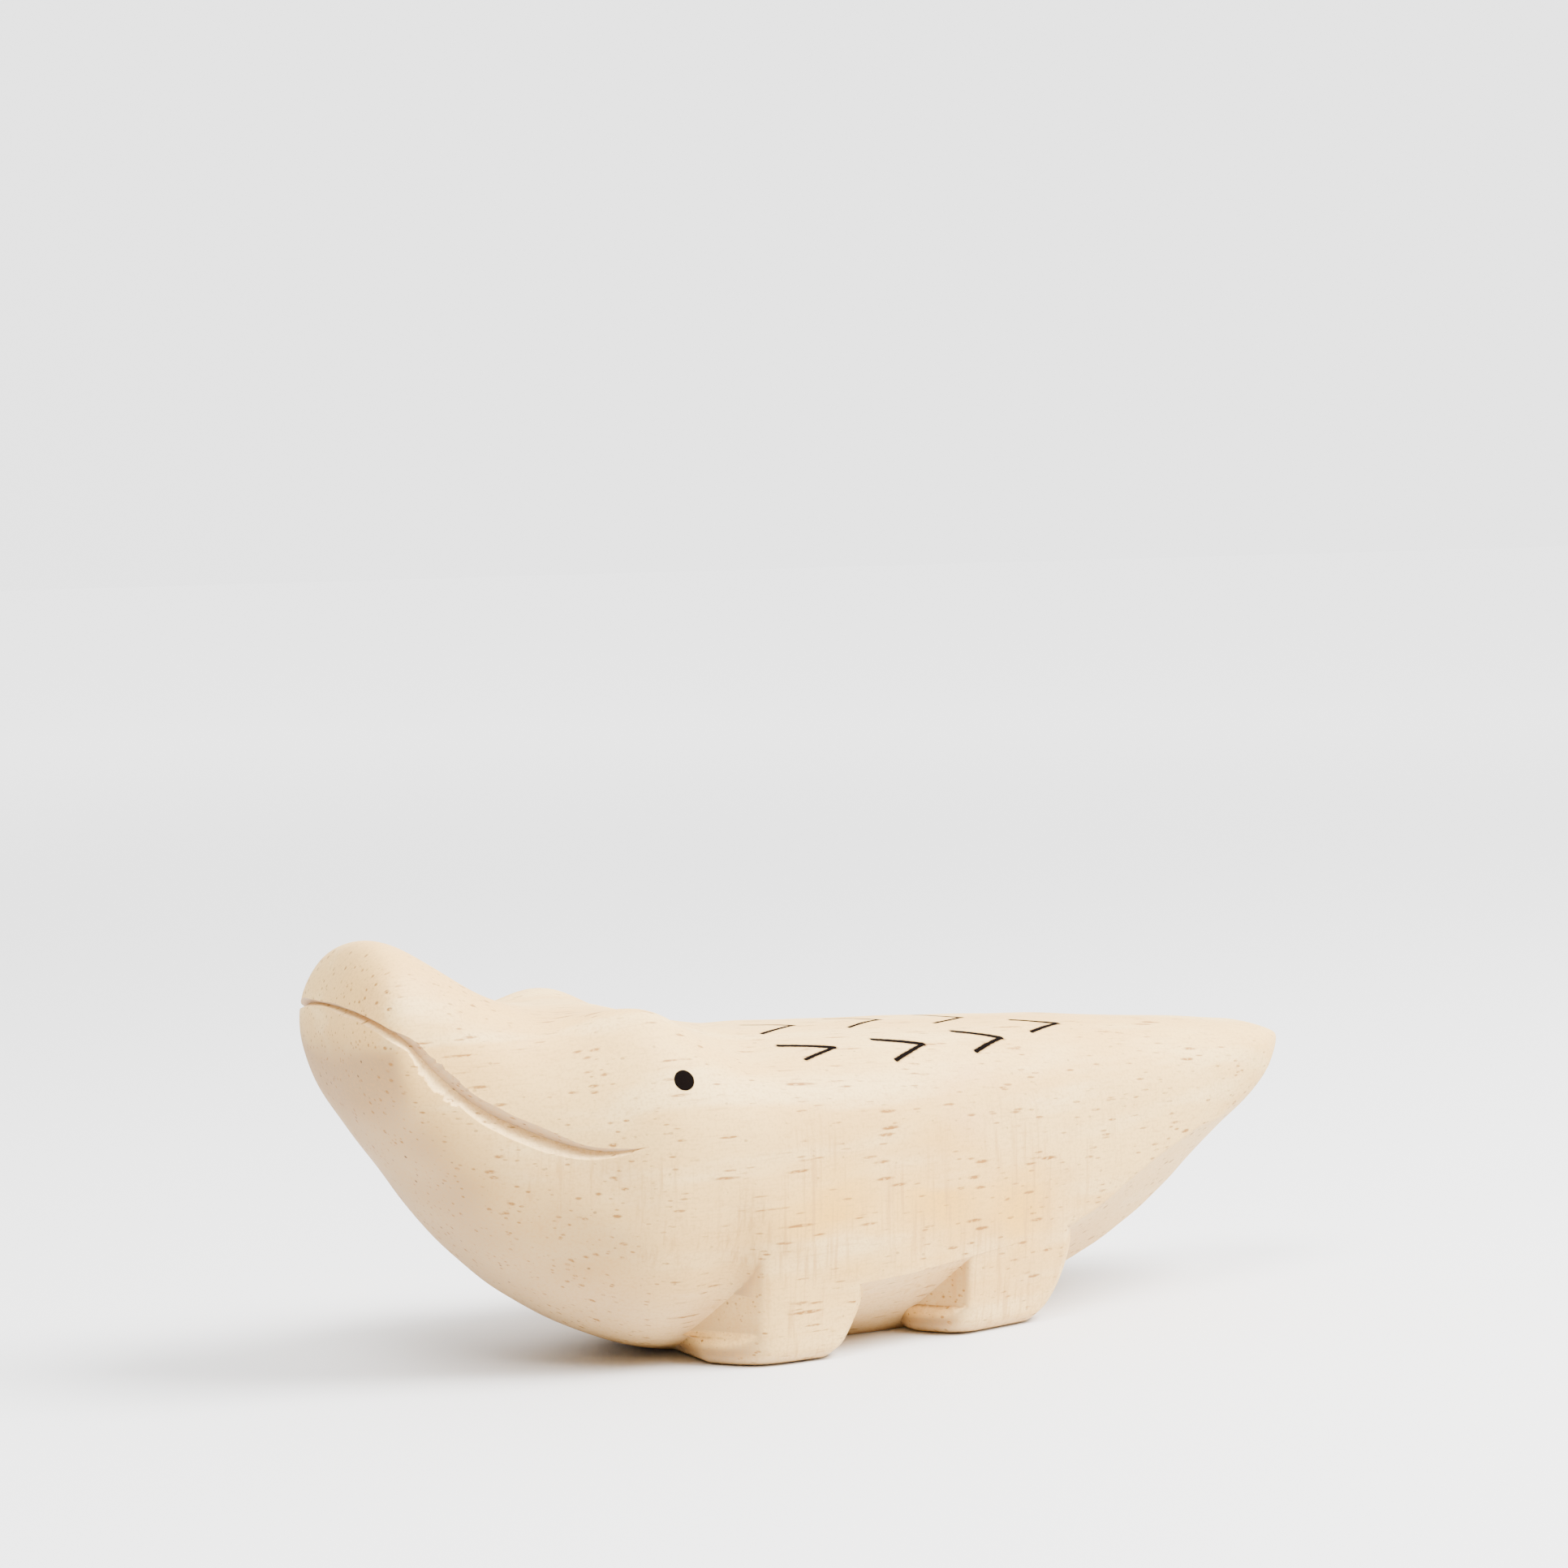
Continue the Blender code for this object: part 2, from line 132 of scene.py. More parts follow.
def closing(share):
    # 1 along the body, falling to 0 at the nose and at the tail tip
    nose = np.clip(share * crocodile["length"] / crocodile["noseRound"], 0.0, 1.0)
    tail = np.clip((1.0 - share) * crocodile["length"] / crocodile["tailRound"], 0.0, 1.0)
    nosePower, tailPower = crocodile["nosePower"], crocodile["tailPower"]
    nose = (1 - (1 - nose) ** nosePower) ** (1 / nosePower)
    return nose * (1 - (1 - tail) ** tailPower) ** (1 / tailPower)


def section(share):
    # Crest, keel, height of the widest line and half beam
    crest = lines["crest"](share) * crocodile["height"]
    keel = lines["keel"](share) * crocodile["height"]
    middle = keel + lines["widest"](share) * (crest - keel)
    return crest, keel, middle, lines["halfBeam"](share) * crocodile["width"] / 2


def underside(share, fall):
    # Half width and drop below the widest line; fall runs from 0 there to 1 at the keel
    _, keel, middle, beam = section(share)
    reach = middle - keel
    power = lines["lowSquare"](share)

    def arc(turn):
        turn = np.clip(turn, 0.0, math.pi / 2)
        return beam * np.cos(turn) ** (2 / power), reach * np.sin(turn) ** (2 / power)

    pared = ramp(share, *crocodile["underIn"]) * (1 - ramp(share, *crocodile["underOut"]))
    place = np.clip(share, crocodile["underEdge"][0][0], crocodile["underEdge"][-1][0])
    edgeDrop = np.clip((middle - lines["underEdge"](place) * crocodile["height"]) / reach, 0.0, 1.0)
    turn = np.arcsin(edgeDrop ** (power / 2))
    edge = arc(turn)
    foot = (lines["underFoot"](place) * crocodile["width"] / 2, reach)
    quarter = crocodile["around"] // 4
    edgeStep = round(crocodile["edgeStep"] * quarter) / quarter
    footStep = round(crocodile["footStep"] * quarter) / quarter
    first = arc(turn * np.clip(fall / edgeStep, 0, 1))
    second = np.clip((fall - edgeStep) / (footStep - edgeStep), 0, 1)
    third = np.clip((fall - footStep) / (1 - footStep), 0, 1)
    plain = arc(fall * math.pi / 2)
    found = []
    for i, end in enumerate((0.0, reach)):
        cut = first[i] + (foot[i] - edge[i]) * second + (end - foot[i]) * third
        found.append(plain[i] + (cut - plain[i]) * pared)
    return found


def pair(y, place, width):
    # Two soft swellings across the body, at a share of the half width on each side
    centre = place * crocodile["width"] / 2
    return np.exp(-((y - centre) / width) ** 2) + np.exp(-((y + centre) / width) ** 2)


def skin(share, angle):
    # Points of the surface; angle 0 is the right flank, pi / 2 the back and pi the left flank
    crest, _, middle, beam = section(share)
    close = closing(share)
    c, s = np.cos(angle), np.sin(angle)
    power = 2 / lines["topSquare"](share)
    topHalf, rise = beam * np.abs(c) ** power, (crest - middle) * np.clip(s, 0, 1) ** power
    lowHalf, drop = underside(share, np.arctan2(np.clip(-s, 0, 1), np.abs(c)) / (math.pi / 2))
    x = along(share) + 0 * angle
    y = np.copysign(np.where(s >= 0, topHalf, lowHalf), c) * close
    z = middle + np.where(s >= 0, rise, -drop) * close
    behind = x - along(crocodile["browPlace"][0])
    brow = np.exp(-(behind / np.where(behind > 0, crocodile["browBehind"], crocodile["browAhead"])) ** 2)
    neck = np.exp(-((x - along(crocodile["neckPlace"][0])) / crocodile["neckLength"]) ** 2)
    raised = crocodile["browRise"] * brow * pair(y, crocodile["browPlace"][1], crocodile["browWidth"])
    raised -= crocodile["neckDepth"] * neck * pair(y, crocodile["neckPlace"][1], crocodile["neckWidth"])
    return np.stack([x, y, z + raised * np.clip(s, 0, 1) ** 0.5], axis=-1)


def flank(x, z):
    # Half width of the plain body at x and at a height z below the widest line
    share = x / crocodile["length"] + 0.5
    _, keel, middle, beam = section(share)
    drop = np.clip((middle - z) / (middle - keel), 0.0, 1.0)
    power = lines["lowSquare"](share)
    return float(beam * closing(share) * (1 - drop ** power) ** (1 / power))


def loftFaces(ringCount, around):
    # Quads between rings that follow each other in the vertex list
    faces = []
    for ring in range(ringCount - 1):
        one, two = ring * around, (ring + 1) * around
        for i in range(around):
            j = (i + 1) % around
            faces.append((one + i, one + j, two + j, two + i))
    return faces


def bodyShell():
    # Closed shell of the body, with fine rings where the nose and the tail tip round off
    count = crocodile["rings"]
    t = np.linspace(0, 1, count)
    ease, gap = crocodile["ringEase"], crocodile["endGap"]
    share = np.clip((1 - ease) * t + ease * (0.5 - 0.5 * np.cos(math.pi * t)), gap, 1 - gap)
    angle = np.linspace(0, 2 * math.pi, crocodile["around"], endpoint=False)
    points = skin(share[:, None], angle[None, :]).reshape(-1, 3)
    faces = loftFaces(count, crocodile["around"])
    faces.append(tuple(range(crocodile["around"]))[::-1])
    faces.append(tuple(range(len(points) - crocodile["around"], len(points))))
    return points.tolist(), faces


legs = {
    # x is the upright front edge; heel is the rounding along the sole and up the back of the leg
    "front": {"x": -0.0248, "length": 0.0180, "height": 0.0168, "heel": (0.0060, 0.0115)},
    "rear": {"x": 0.0126, "length": 0.0211, "height": 0.0158, "heel": (0.0076, 0.0125)},
    "heelPower": 1.5,                 # 2 is an ellipse, less is flatter
    "lean": math.radians(6.5),        # the flank leans in towards the sole
    "inside": 0.0050,                 # from the middle of the body to a block's inner side
    "soleRound": 0.0027,
    "heelChamfer": 0.0022,
    "facetTurn": math.radians(36.0),
    "facetLean": math.radians(4.0),
    "toeHeight": 0.0044,
    "toeStart": 0.6,                  # share of that height where the top of the toes begins to round
    "toeReach": 0.0011,
    "toeSpan": 0.0069,
    "upperSpan": 1.5,                 # above the toes the block reaches this many spans ahead, in the body
    "toeRound": 0.0038,               # rounding of the toes' outer corner, seen from below
    "edgeRound": 0.0009,              # rounding of the upright edge between facet and flank
    "cornerPoints": 8,
    "flankPoints": 16,
    "sink": 0.00002,                  # how far a block's side lies inside the flank above the leg
    "levels": 44,
    "levelPower": 1.3,                # more than 1 crowds the levels towards the sole
    "rise": 1.5,                      # a block's height in leg heights; its top lies in the body
    "rounds": 8,                      # rounds in which the facet and the flank settle their corner
}


def roundedInset(z, reach, rise, power=2.0):
    # How far a rounding stands back from its upright at height z
    if z >= rise:
        return 0.0
    return reach * (1 - (1 - (1 - z / rise) ** power) ** (1 / power))


def legPlan(z, leg):
    # Plan of a leg at height z: up the front facet, along the flank, round the back and along the inside
    rounding = roundedInset(z, legs["soleRound"], legs["soleRound"])
    over = max(0.0, z - legs["toeHeight"] * legs["toeStart"]) / (legs["toeHeight"] * (1 - legs["toeStart"]))
    pad = math.sqrt(max(0.0, 1 - over ** 2))
    forward = legs["toeReach"] * pad - rounding
    level = max(z, leg["height"])
    narrow = legs["sink"] + rounding + (level - z) * math.tan(legs["lean"])
    slope = math.tan(legs["facetTurn"])
    cornerY = flank(leg["x"], leg["height"])
    lean = (z - leg["height"] / 2) * math.tan(legs["facetLean"]) / math.cos(legs["facetTurn"])
    edgeX = leg["x"]
    for _ in range(legs["rounds"]):
        edgeY = flank(edgeX, level) - narrow
        edgeX = leg["x"] - lean - forward / math.cos(legs["facetTurn"]) + (edgeY - cornerY) * slope
    spans = legs["upperSpan"] - (legs["upperSpan"] - 1) * min(1.0, pad * 2)
    tipX = leg["x"] - legs["toeSpan"] * spans + rounding
    edgeY = flank(edgeX, level) - narrow
    tipY = max(edgeY - (edgeX - tipX) / slope, legs["inside"] + legs["soleRound"])
    points = [(tipX, legs["inside"]), (tipX, tipY)]
    backX = leg["x"] + leg["length"] - roundedInset(z, *leg["heel"], legs["heelPower"])
    last = backX - legs["heelChamfer"]
    soft = legs["edgeRound"] + (legs["toeRound"] - legs["edgeRound"]) * pad
    turn = legs["facetTurn"]
    for i in range(legs["cornerPoints"] + 1):
        t = i / legs["cornerPoints"]
        before, after = soft * (1 - t) ** 2, soft * t ** 2
        points.append((edgeX - before * math.sin(turn) + after,
                       edgeY - before * math.cos(turn) + flank(edgeX + after, level) - flank(edgeX, level)))
    for i in range(1, legs["flankPoints"] + 1):
        x = edgeX + soft + (last - edgeX - soft) * i / legs["flankPoints"]
        points.append((x, flank(x, level) - narrow))
    points.append((backX, points[-1][1] - legs["heelChamfer"]))
    points.append((backX, legs["inside"]))
    return points


def legShell(leg, side):
    # One leg as a stack of plans, closer together towards the sole
    points = []
    for i in range(legs["levels"]):
        z = leg["height"] * legs["rise"] * (i / (legs["levels"] - 1)) ** legs["levelPower"]
        points += [(x, side * y, z) for x, y in legPlan(z, leg)]
    around = len(points) // legs["levels"]
    faces = loftFaces(legs["levels"], around)
    faces.append(tuple(range(around))[::-1])
    faces.append(tuple(range(len(points) - around, len(points))))
    if side < 0:
        faces = [face[::-1] for face in faces]
    return points, faces


def meshObject(name, points, faces):
    mesh = bpy.data.meshes.new(name)
    mesh.from_pydata(points, [], faces)
    mesh.update()
    thing = bpy.data.objects.new(name, mesh)
    bpy.context.scene.collection.objects.link(thing)
    return thing


def applied(thing):
    # Bakes the object's modifiers into its mesh
    graph = bpy.context.evaluated_depsgraph_get()
    mesh = bpy.data.meshes.new_from_object(thing.evaluated_get(graph))
    thing.modifiers.clear()
    old = thing.data
    thing.data = mesh
    bpy.data.meshes.remove(old)


def facedOut(thing):
    # Turns the faces of closed shells outwards
    bm = bmesh.new()
    bm.from_mesh(thing.data)
    bmesh.ops.recalc_face_normals(bm, faces=bm.faces)
    bm.to_mesh(thing.data)
    bm.free()


def joined(block, tool, operation):
    # Adds the tool to the block or cuts it away, and removes the tool
    facedOut(tool)
    change = block.modifiers.new(tool.name, "BOOLEAN")
    change.operation = operation
    change.solver = "EXACT"
    change.object = tool
    applied(block)
    bpy.data.objects.remove(tool)


def handFinished(mesh):
    # Slow unevenness of a surface finished by hand: waves in drawn directions, none on the flat sawn soles
    points = np.empty(len(mesh.vertices) * 3)
    normals = np.empty(len(mesh.vertices) * 3)
    mesh.vertices.foreach_get("co", points)
    mesh.vertex_normals.foreach_get("vector", normals)
    points, normals = points.reshape(-1, 3), normals.reshape(-1, 3)
    draw = np.random.default_rng(crocodile["waveSeed"])
    height = np.zeros(len(points))
    for _ in range(crocodile["waves"]):
        direction = draw.normal(size=3) * crocodile["waveStretch"]
        direction /= np.linalg.norm(direction)
        length = draw.uniform(*crocodile["waveLengths"])
        height += np.sin(points @ direction * 2 * math.pi / length + draw.uniform(0, 6.3))
    fade = ramp(points[:, 2], 0.0, crocodile["waveFade"])
    height *= crocodile["waviness"] / math.sqrt(crocodile["waves"] / 2) * fade
    points = points + normals * height[:, None]
    half = crocodile["length"] / 2
    points[:, 0] = np.clip(points[:, 0], -half, half)
    points[:, 2] = np.maximum(points[:, 2], 0.0)
    mesh.vertices.foreach_set("co", points.ravel())
    mesh.update()


def carvedBlock():
    # Body and legs as one piece of wood
    block = meshObject("carved_crocodile", *bodyShell())
    facedOut(block)
    points, faces = [], []
    for name in ("front", "rear"):
        for side in (-1, 1):
            morePoints, moreFaces = legShell(legs[name], side)
            faces += [tuple(i + len(points) for i in face) for face in moreFaces]
            points += morePoints
    joined(block, meshObject("legs", points, faces), "UNION")
    # The saw takes off all that lies below the soles
    wide = crocodile["length"]
    saw = meshObject("saw", [(x, y, z) for z in (-wide, 0.0) for x, y in
                             ((-wide, -wide), (wide, -wide), (wide, wide), (-wide, wide))],
                     [(3, 2, 1, 0), (4, 5, 6, 7), (0, 1, 5, 4), (1, 2, 6, 5), (2, 3, 7, 6), (3, 0, 4, 7)])
    joined(block, saw, "DIFFERENCE")
    handFinished(block.data)
    return block


# The mouth's cut. Progress runs from the front (0) to the corner of the mouth (1).
mouth = {
    "line": ((0.0, 0.876), (0.013, 0.842), (0.038, 0.797), (0.052, 0.757), (0.103, 0.637),
             (0.139, 0.585), (0.173, 0.547), (0.206, 0.532), (0.241, 0.545)),
    "corner": 0.237,
    "depth": 0.0021,
    "above": 0.0012,          # opening above the root of the cut
    "below": 0.0015,          # bevel on the lower lip
    "depthShape": ((0.0, 0.55), (0.30, 0.75), (0.70, 1.0), (0.88, 0.80), (1.0, 0.03)),
    "aboveShape": ((0.0, 0.35), (0.30, 0.45), (0.60, 0.95), (0.85, 1.0), (1.0, 0.10)),
    "belowShape": ((0.0, 0.55), (0.30, 0.75), (0.60, 1.0), (0.85, 1.0), (1.0, 0.10)),
    "steps": 130,
    "halvings": 30,           # steps in which a place on the skin is closed in on
    "seed": 11,
    "ragged": 0.00007,        # unevenness of the cut's edges
    "raggedWidth": 3,         # over this many steps
    "calm": 10,               # the edges are ragged up to the last tenth before the corner
    "torn": (0.39, 0.59),     # where the fibres tore out below the cut, on the left side
    "tornDrop": 0.0032,
    "tearWidth": 0.7,
    "tearBelow": (0.20, 0.30),        # even and drawn share of the drop
    "tearAbove": 0.15,
    "tearShift": 4,           # the tears above the cut lie this many steps from those below
}
mouthLine = curve(mouth["line"])


def mouthAngle(share):
    # Angle on the left side where the skin meets the mouth's height, or None ahead of the mouth
    height = mouthLine(share) * crocodile["height"]
    low, high = math.pi / 2, 3 * math.pi / 2
    if skin(share, low)[2] < height or skin(share, high)[2] > height:
        return None
    for _ in range(mouth["halvings"]):
        angle = (low + high) / 2
        if skin(share, angle)[2] > height:
            low = angle
        else:
            high = angle
    return angle


def mouthPath():
    # Points, outward directions and progress on the left side
    low, high = 0.0, crocodile["noseRound"] / crocodile["length"]
    for _ in range(mouth["halvings"]):
        start = (low + high) / 2
        if mouthAngle(start) is None:
            low = start
        else:
            high = start
    start = high
    found = []
    tiny = 1e-4
    for i in range(1, mouth["steps"] + 1):
        progress = i / mouth["steps"]
        share = start + (mouth["corner"] - start) * progress ** 2
        angle = mouthAngle(share)
        lengthwise = Vector(skin(share + tiny, angle) - skin(share - tiny, angle))
        crosswise = Vector(skin(share, angle + tiny) - skin(share, angle - tiny))
        out = lengthwise.cross(crosswise).normalized()
        if out.y > 0:
            out = -out
        found.append((Vector(skin(share, angle)), out, progress))
    front = Vector((along(start), 0.0, mouthLine(start) * crocodile["height"]))
    ahead = Vector((found[0][1].x, 0.0, found[0][1].z)).normalized()
    return [(front, ahead, 0.0)] + found


def softNoise(draw, count, width):
    # Random steps smoothed over a width, with a spread of 1
    reach = int(width * 3)
    bell = np.exp(-0.5 * (np.arange(-reach, reach + 1) / width) ** 2)
    return np.convolve(draw.normal(size=count + 2 * reach), bell / np.linalg.norm(bell), "valid")


def mouthCutter():
    # A wedge swept round the snout from cheek to cheek, with slightly ragged edges
    left = mouthPath()
    right = [(Vector((p.x, -p.y, p.z)), Vector((n.x, -n.y, n.z)), t) for p, n, t in left[1:]]
    path = left[::-1] + right
    shapes = {name: curve(mouth[name]) for name in ("depthShape", "aboveShape", "belowShape")}
    draw = np.random.default_rng(mouth["seed"])
    uneven = mouth["ragged"] * softNoise(draw, len(path), mouth["raggedWidth"])
    unevenBelow = mouth["ragged"] * softNoise(draw, len(path), mouth["raggedWidth"])
    tears = np.abs(softNoise(draw, len(path), mouth["tearWidth"]))
    points = []
    for i, (point, out, progress) in enumerate(path):
        ahead = path[min(i + 1, len(path) - 1)][0] - path[max(i - 1, 0)][0]
        up = ahead.cross(out).normalized()
        if up.z < 0:
            up = -up
        depth = mouth["depth"] * float(shapes["depthShape"](progress))
        clear = mouth["depth"] / 2
        openUp = (depth + clear) / max(depth, mouth["depth"] / 3)
        wild = min(1.0, (1 - progress) * mouth["calm"])
        above = mouth["above"] * float(shapes["aboveShape"](progress)) + wild * uneven[i]
        below = mouth["below"] * float(shapes["belowShape"](progress)) + wild * unevenBelow[i]
        if mouth["torn"][0] < progress < mouth["torn"][1] and point.y < 0:
            middle = sum(mouth["torn"]) / 2
            strength = 1 - abs(progress - middle) / (mouth["torn"][1] - middle)
            even, drawn = mouth["tearBelow"]
            below += mouth["tornDrop"] * strength ** 0.5 * (even + drawn * tears[i])
            above += mouth["tornDrop"] * mouth["tearAbove"] * strength ** 0.5 * tears[i + mouth["tearShift"]]
        points.append(point - out * depth)
        points.append(point + out * clear - up * below * openUp)
        points.append(point + out * clear + up * above * openUp)
    faces = loftFaces(len(path), 3)
    faces.append((2, 1, 0))
    faces.append((len(points) - 3, len(points) - 2, len(points) - 1))
    return meshObject("mouth_knife", [tuple(p) for p in points], faces)


class Value:
    # One output in a shader; arithmetic written on it adds Math nodes
    def __init__(self, tree, socket=None):
        self.tree = tree
        self.socket = socket

    def node(self, kind, settings, sockets, output=0):
        made = self.tree.nodes.new("ShaderNode" + kind)
        for name, setting in settings.items():
            setattr(made, name, setting)
        for name, value in sockets.items():
            if isinstance(value, Value):
                self.tree.links.new(value.socket, made.inputs[name])
            else:
                made.inputs[name].default_value = value
        return Value(self.tree, made.outputs[output]) if made.outputs else None

    def math(self, operation, *others):
        sockets = {0: self}
        sockets.update({i + 1: other for i, other in enumerate(others)})
        return self.node("Math", {"operation": operation}, sockets)

    def __add__(self, other):
        return self.math("ADD", other)

    __radd__ = __add__

    def __mul__(self, other):
        return self.math("MULTIPLY", other)

    __rmul__ = __mul__

    def __sub__(self, other):
        return self.math("SUBTRACT", other)

    def __rsub__(self, other):
        return self.math("MULTIPLY", -1.0).math("ADD", other)

    def __truediv__(self, other):
        return self.math("DIVIDE", other)

    def __pow__(self, other):
        return self.math("POWER", other)

    def __abs__(self):
        return self.math("ABSOLUTE")

    def clamped(self):
        return self.node("Clamp", {}, {"Value": self})

    def step(self, start, end):
        # 0 at start, 1 at end, smooth between; start may be the larger
        return self.node("MapRange", {"interpolation_type": "SMOOTHSTEP"},
                         {"Value": self, "From Min": start, "From Max": end})

    def scaled(self, factors):
        # A vector times three factors
        return self.node("VectorMath", {"operation": "MULTIPLY"}, {0: self, 1: factors})

    def moved(self, other):
        return self.node("VectorMath", {"operation": "ADD"}, {0: self, 1: other})

    def part(self, axis):
        return self.node("SeparateXYZ", {}, {0: self}, output=axis)

    def distanceTo(self, place):
        return self.node("VectorMath", {"operation": "DISTANCE"}, {0: self, 1: place}, output="Value")

    def noise(self, scale, detail=2.0, rough=0.5, output=0):
        sockets = {"Vector": self, "Scale": scale, "Detail": detail, "Roughness": rough}
        return self.node("TexNoise", {}, sockets, output=output)

    def mixed(self, one, two):
        # Self is the share of colour two
        return self.node("Mix", {"data_type": "RGBA"}, {0: self, 6: one, 7: two}, output=2)


# Pale, light wood with its fibres along the body. Lengths in metres, colours are linear.
wood = {
    "pale": (0.840, 0.550, 0.200, 1.0),
    "warm": (0.780, 0.475, 0.150, 1.0),
    "light": (0.890, 0.650, 0.300, 1.0),
    # end grain, laid only where the snout faces ahead and down: end grain and painted shade
    "endGrainAndShade": (0.38, 0.225, 0.095, 1.0),
    "freshLitWall": (0.89, 0.63, 0.29, 1.0),         # the lower wall of the mouth's cut, fresh-cut colour made lighter where it faces up: painted light
    "inside": (0.50, 0.36, 0.22, 1.0),        # the upper wall, facing down: painted shade
    "pared": (0.66, 0.455, 0.245, 1.0),       # surfaces facing down, the pared underside among them: painted shade, partly the greyer knife-cut colour
    # painted shade in the crease on top of the toes
    "creaseShade": (0.24, 0.100, 0.025, 1.0),
    "fibre": (0.56, 0.300, 0.090, 1.0),
    "vessel": (0.30, 0.130, 0.024, 1.0),
    "pore": (0.11, 0.042, 0.012, 1.0),
    "yellow": (0.80, 0.440, 0.075, 1.0),
    "pink": (0.78, 0.450, 0.210, 1.0),
    # layers of noise: scale along x, y and z, detail, thresholds where a layer begins and is full, strength
    "tones": {"scale": (22.0, 55.0, 55.0), "detail": (3.0,), "between": (0.35, 0.70), "strength": 1.0},
    "bands": {"scale": (9.0, 150.0, 210.0), "detail": (2.0,), "between": (0.48, 0.72), "strength": 0.60},
    "clouds": {"scale": (45.0, 160.0, 160.0), "detail": (2.0,), "between": (0.30, 0.62), "strength": 1.0},
    "fibres": {"scale": (170.0, 2400.0, 2400.0), "detail": (3.0, 0.65), "between": (0.46, 0.78),
               "strength": 0.40},
    "fuzz": {"scale": (2400.0, 2400.0, 2400.0), "detail": (1.0,), "between": (0.45, 0.72), "strength": 0.30},
    "rays": {"scale": (1400.0, 700.0, 90.0), "detail": (2.0,), "between": (0.48, 0.70), "strength": 0.60},
    "rayPatches": {"scale": (75.0, 75.0, 75.0), "detail": (1.0,), "between": (0.30, 0.60), "strength": 1.0},
    "creases": {"scale": (900.0, 900.0, 900.0), "detail": (1.0,), "between": (0.25, 0.60), "strength": 0.80},
    "gaps": {"scale": (1100.0, 3000.0, 3000.0), "detail": (1.0,), "between": (0.34, 0.52), "strength": 0.60},
    # one vessel in each cell; its strength is a fixed share and one that is drawn
    "longVessels": {"cell": (0.0150, 0.00130, 0.00130), "thick": 0.210, "seed": 3.1,
                    "strength": (0.55, 0.40)},
    "shortVessels": {"cell": (0.0072, 0.00085, 0.00085), "thick": 0.200, "seed": 17.3,
                     "strength": (0.25, 0.65)},
    "pores": {"cell": (0.0024, 0.0017, 0.0017), "thick": 0.125, "seed": 9.7},
    "poresDrawn": (0.40, 0.85),               # only cells with a high drawn value have a pore
    "poreStrength": (0.35, 0.55),             # everywhere, and more on end grain
    "wobble": (0.0010, 0.00016, 0.00016),     # how far the vessels wander
    "wobbleScale": 500.0,
    "thinnest": 0.45,                         # added to the drawn share of a vessel's thickness
    "vesselEdge": 0.55,                       # share of its radius over which a vessel fades
    # ranges of the surface's direction, 1 is straight along the axis
    # the snout's end grain colour goes only where it also faces down, so it is partly painted shade
    "endGrainAhead": (-0.15, -0.75),
    "endGrainShadeUp": (0.15, -0.25),
    "endGrainShadeStrength": 0.95,
    # every surface facing down gets the pared colour: painted shade
    "paredShadeUp": (-0.35, -0.72),
    "paredShadeStrength": 0.60,
    # the mouth's walls get painted light where they face up and painted shade where they face down
    "wallUp": (0.15, -0.15),
    "wallDepth": (0.0, 0.00025),              # depth under the skin where the mouth's walls begin
    "wallStrength": 0.85,
    "creaseFoot": (0.0038, 0.0043),           # heights of the crease on top of the toes, where painted shade is laid
    "creaseTop": (0.0048, 0.0045),
    "creaseUp": (0.45, 0.85),
    "rayOut": (0.013, 0.021),                 # the upright striations: distance from the middle and height
    "rayHeight": (0.043, 0.028),
    # centre and reach of the tinted places, left side and right side alike
    "yellowPlaces": (((-0.014, 0.026, 0.021), 0.017), ((0.006, 0.024, 0.022), 0.017),
                     ((0.022, 0.021, 0.018), 0.015)),
    "yellowStrength": 0.90,
    "pinkPlaces": (((0.012, 0.019, 0.036), 0.010), ((-0.075, 0.010, 0.055), 0.010)),
    "pinkStrength": 0.55,
    "roughness": 0.56,
    "roughSpread": 0.12,
    "roughScale": 260.0,
    # heights of the fine relief
    "fibreRise": 0.00004,
    "rayRise": 0.00003,
    "vesselDent": 0.00005,
    "poreDent": 0.00007,
    "burntDent": 0.00008,
    "reliefStrength": 0.55,
}

# Burnt on with a hot tip: apex, end of the arm towards the middle of the back, end of the arm on the outside
burnt = {
    "colour": (0.0035, 0.0022, 0.0018, 1.0),
    "scorch": (0.16, 0.070, 0.022, 1.0),
    "eye": (-0.0375, 0.0250, 0.04375),
    "eyeRadius": 0.00160,
    "lineWidth": 0.00056,
    "innerWidth": 1.4,        # the arms towards the middle are this much wider
    "edgeScale": 1500.0,
    "edgeWander": 0.00022,    # unevenness of the burnt edges
    "edgeOut": 0.00016,       # how far a line fades outwards and inwards from its edge
    "edgeIn": 0.00004,
    "scorchReach": 0.00042,
    "scorchStrength": 0.55,
    "eyeEdge": 0.00007,
    "eyeWander": 0.35,        # share of the wander that the eye's edge has
    # the marks are in millimetres, seen from above
    "sideMarks": (((-7.7, 16.0), (-15.9, 13.75), (-14.1, 18.9)), ((8.1, 15.2), (0.4, 13.5), (1.2, 19.1)),
                  ((23.3, 12.9), (16.0, 10.7), (16.8, 16.3))),
    "middleMarks": (((-7.9, -3.4), (-14.5, 0.5), (-15.8, -8.3)), ((8.1, -1.8), (1.1, 2.6), (0.1, -6.7)),
                    ((22.8, -1.6), (17.9, 4.0), (15.8, -5.6)), ((36.7, -7.7), (29.7, -5.5), (30.1, -10.9))),
    "lowest": (0.029, 0.030),         # marks are on the back, above this height
}


def grain(place, layer):
    # Noise of a layer
    return place.scaled(layer["scale"]).noise(1.0, *layer["detail"])


def cover(noise, layer):
    # How much a layer covers at each place
    return noise.step(*layer["between"]) * layer["strength"]


